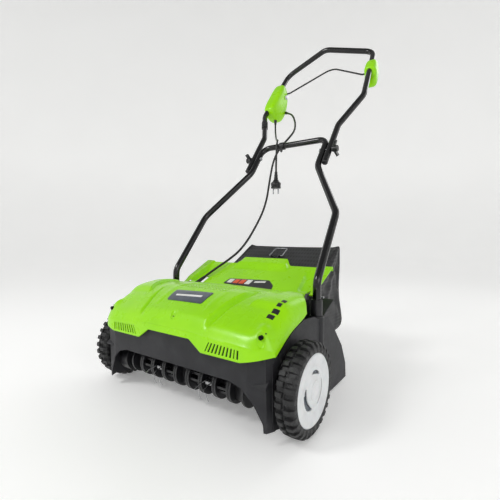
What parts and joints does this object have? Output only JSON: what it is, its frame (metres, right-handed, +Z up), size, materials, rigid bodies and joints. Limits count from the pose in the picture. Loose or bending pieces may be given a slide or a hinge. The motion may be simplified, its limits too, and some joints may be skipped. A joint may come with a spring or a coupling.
{
  "type": "lawn dethatcher",
  "caption": "Corded walk-behind lawn dethatcher: tine reel in a black housing under a green hood, side wheels, folding tubular handle with bail switch and rear grass bag.",
  "frame": {"origin": "on the ground under the middle of the bounding box, leads left out", "axes": "+Z up, +Y to the rear where the operator walks, +X across the machine"},
  "size_m": [0.586, 0.851, 1.0992],
  "materials": {
    "housing_black": "fine moulded texture",
    "green_plastic": "glossy moulded ABS",
    "handle_tube": "gloss black powder coat",
    "tyre_rubber": "moulded lugs",
    "wheel_grey": "satin moulded",
    "black_plastic": "satin moulded",
    "zinc_steel": "zinc plated",
    "spring_steel": "bright wire",
    "badge_slate": "smooth label",
    "bag_fabric": "woven polyester",
    "cable_pvc": "matt sheath",
    "button_clear": "translucent button",
    "belt_rubber": "ribbed belt",
    "motor_steel": "lacquered can",
    "grey_foam": "soft sleeve"
  },
  "bodies": {
    "root": {"badge_plate": "badge_slate", "bag_frame": "zinc_steel", "bag_handle_clips": "black_plastic", "belt_guard": "black_plastic", "cable_gland": "cable_pvc", "chassis_shell": "housing_black", "clamp_bolts": "zinc_steel", "cord_hook": "black_plastic", "drive_belt": "belt_rubber", "flap_hangers": "black_plastic", "flap_pin": "zinc_steel", "grass_bag": "bag_fabric", "hood": "green_plastic", "hood_screws": "zinc_steel", "lower_handle": "handle_tube", "main_axles": "zinc_steel", "mains_lead": "cable_pvc", "motor_cable": "cable_pvc", "motor_case": "motor_steel", "motor_cradle": "black_plastic", "plug_body": "cable_pvc", "plug_pins": "zinc_steel", "reel_bearings": "zinc_steel", "socket_ferrules": "black_plastic"},
    "wheel_left": {"tyre_left": "tyre_rubber", "rim_left": "wheel_grey", "hub_cap_left": "wheel_grey"},
    "wheel_right": {"tyre_right": "tyre_rubber", "rim_right": "wheel_grey", "hub_cap_right": "wheel_grey"},
    "carriage": {"wheel_carriage": "zinc_steel", "depth_lever": "zinc_steel", "lever_grip": "black_plastic"},
    "rear_wheel_left": {"rear_wheel_left": "black_plastic"},
    "rear_wheel_right": {"rear_wheel_right": "black_plastic"},
    "reel": {"reel_shaft": "zinc_steel", "reel_segments": "black_plastic", "spring_tines": "spring_steel", "reel_pulley": "zinc_steel"},
    "rotor": {"motor_rotor": "motor_steel", "motor_pulley": "zinc_steel"},
    "flap": {"rear_flap": "green_plastic"},
    "upper_handle": {"upper_handle": "handle_tube", "leg_sleeve": "grey_foam", "switch_box_outer": "green_plastic", "switch_box_inner": "green_plastic", "switch_block": "black_plastic", "pivot_cover": "green_plastic", "box_boots": "cable_pvc"},
    "bail": {"bail": "handle_tube"},
    "safety_button": {"safety_button": "button_clear"},
    "knob_left": {"clamp_knob_left": "black_plastic"},
    "knob_right": {"clamp_knob_right": "black_plastic"},
    "bag_handle": {"bag_handle": "zinc_steel"}
  },
  "joints": [
    {"name": "wheel_left_spin", "type": "hinge", "parent": "root", "child": "wheel_left", "pos_m": [-0.27, -0.32255, 0.09], "axis": [1, 0, 0], "continuous": true},
    {"name": "wheel_right_spin", "type": "hinge", "parent": "root", "child": "wheel_right", "pos_m": [0.27, -0.32255, 0.09], "axis": [1, 0, 0], "continuous": true},
    {"name": "depth_set", "type": "hinge", "parent": "root", "child": "carriage", "pos_m": [0, -0.17255, 0.06], "axis": [1, 0, 0], "range_deg": [-14, 0]},
    {"name": "rear_wheel_left_spin", "type": "hinge", "parent": "carriage", "child": "rear_wheel_left", "pos_m": [-0.2, -0.09055, 0.03], "axis": [1, 0, 0], "continuous": true},
    {"name": "rear_wheel_right_spin", "type": "hinge", "parent": "carriage", "child": "rear_wheel_right", "pos_m": [0.2, -0.09055, 0.03], "axis": [1, 0, 0], "continuous": true},
    {"name": "reel_spin", "type": "hinge", "parent": "root", "child": "reel", "pos_m": [0, -0.35454, 0.07], "axis": [1, 0, 0], "continuous": true},
    {"name": "motor_spin", "type": "hinge", "parent": "root", "child": "rotor", "pos_m": [0, -0.29254, 0.182], "axis": [1, 0, 0], "continuous": true},
    {"name": "flap_lift", "type": "hinge", "parent": "root", "child": "flap", "pos_m": [0, -0.16454, 0.238], "axis": [1, 0, 0], "range_deg": [0, 48]},
    {"name": "handle_fold", "type": "hinge", "parent": "root", "child": "upper_handle", "pos_m": [0, 0.08646, 0.641], "axis": [1, 0, 0], "range_deg": [0, 150], "deforming": ["motor_cable", "mains_lead"]},
    {"name": "bail_pull", "type": "hinge", "parent": "upper_handle", "child": "bail", "pos_m": [0, 0.35046, 0.957], "axis": [1, 0, 0], "range_deg": [0, 28], "stiffness_Nm_per_rad": 0.3, "springref_deg": -11.46},
    {"name": "safety_press", "type": "slide", "parent": "upper_handle", "child": "safety_button", "axis": [-1, 0, 0], "range_m": [0, 0.005], "stiffness_N_per_m": 300, "springref_m": -0.002},
    {"name": "knob_left_turn", "type": "hinge", "parent": "root", "child": "knob_left", "pos_m": [-0.156, 0.08646, 0.641], "axis": [1, 0, 0], "continuous": true},
    {"name": "knob_right_turn", "type": "hinge", "parent": "root", "child": "knob_right", "pos_m": [0.156, 0.08646, 0.641], "axis": [1, 0, 0], "continuous": true},
    {"name": "bag_handle_swing", "type": "hinge", "parent": "root", "child": "bag_handle", "pos_m": [-0.012, 0.02945, 0.3185], "axis": [1, 0, 0], "range_deg": [0, 120]}
  ],
  "couplings": [
    {"joint": "motor_spin", "follows": "reel_spin", "ratio": 2.4545}
  ]
}
